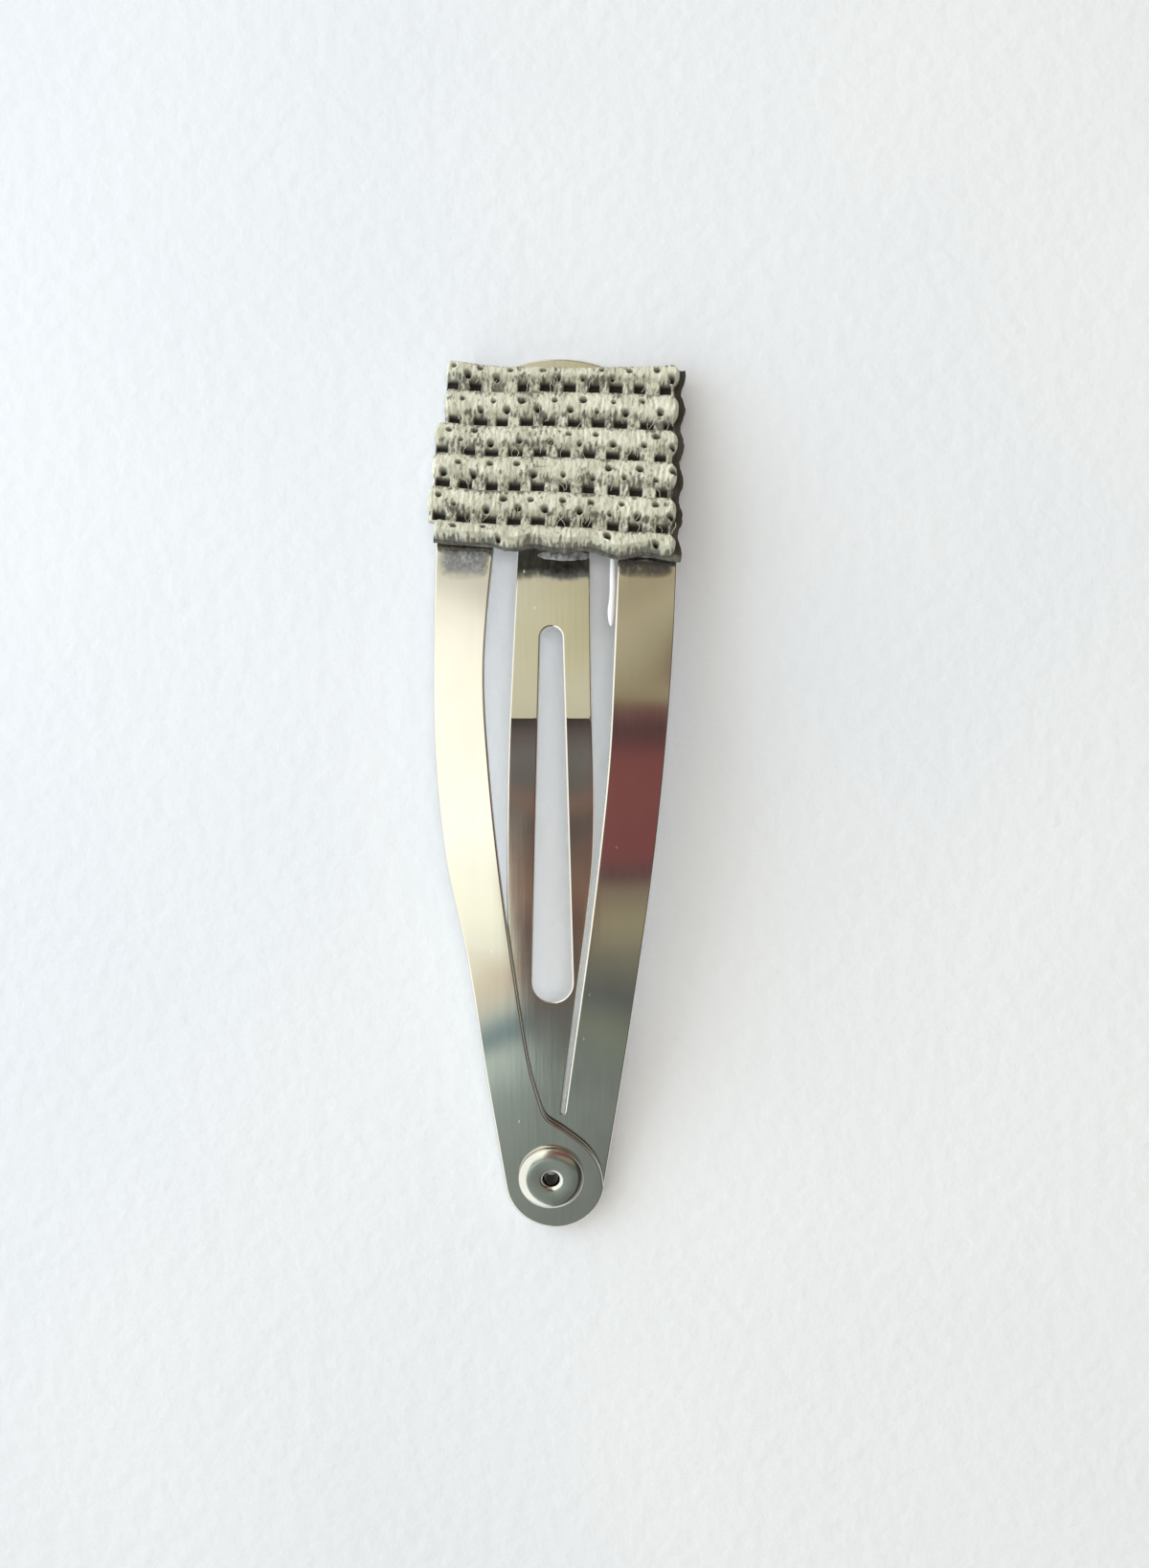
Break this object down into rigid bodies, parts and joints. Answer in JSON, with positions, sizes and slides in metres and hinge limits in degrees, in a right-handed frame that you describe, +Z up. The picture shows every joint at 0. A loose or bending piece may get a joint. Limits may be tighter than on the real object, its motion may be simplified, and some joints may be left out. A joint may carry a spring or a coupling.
{
  "type": "kippah clip",
  "caption": "Arched spring-steel snap clip with a slotted tongue and a riveted tip, and a ribbed hook-tape pad glued on its wide end to grip a cap's lining.",
  "frame": {"origin": "under the middle of the clip, on the surface that it lies on", "axes": "+X across the clip, +Y along it from the riveted tip to the wide end, +Z up, out of the padded face"},
  "size_m": [0.0144, 0.05, 0.0059],
  "materials": {
    "spring_steel": "bright nickel plate",
    "rivet_steel": "bright nickel plate",
    "hook_tape": "cream woven ribs",
    "tape_backing": "dark woven ground",
    "glue": "dried clear to white"
  },
  "bodies": {
    "frame": {"wide_end_bow": "spring_steel", "left_arm": "spring_steel", "right_arm": "spring_steel", "tip_rivet": "rivet_steel", "glue_film": "glue", "glue_bead": "glue", "glue_smear": "glue", "pad_backing": "tape_backing", "pad_rib_1": "hook_tape", "pad_rib_2": "hook_tape", "pad_rib_3": "hook_tape", "pad_rib_4": "hook_tape", "pad_rib_5": "hook_tape", "pad_rib_6": "hook_tape"},
    "tongue": {"tongue": "spring_steel"}
  },
  "joints": [
    {"name": "tongue_snap", "type": "hinge", "parent": "frame", "child": "tongue", "pos_m": [0, -0.01825, 0.00242], "axis": [-1, 0, 0], "range_deg": [0, 18]}
  ]
}
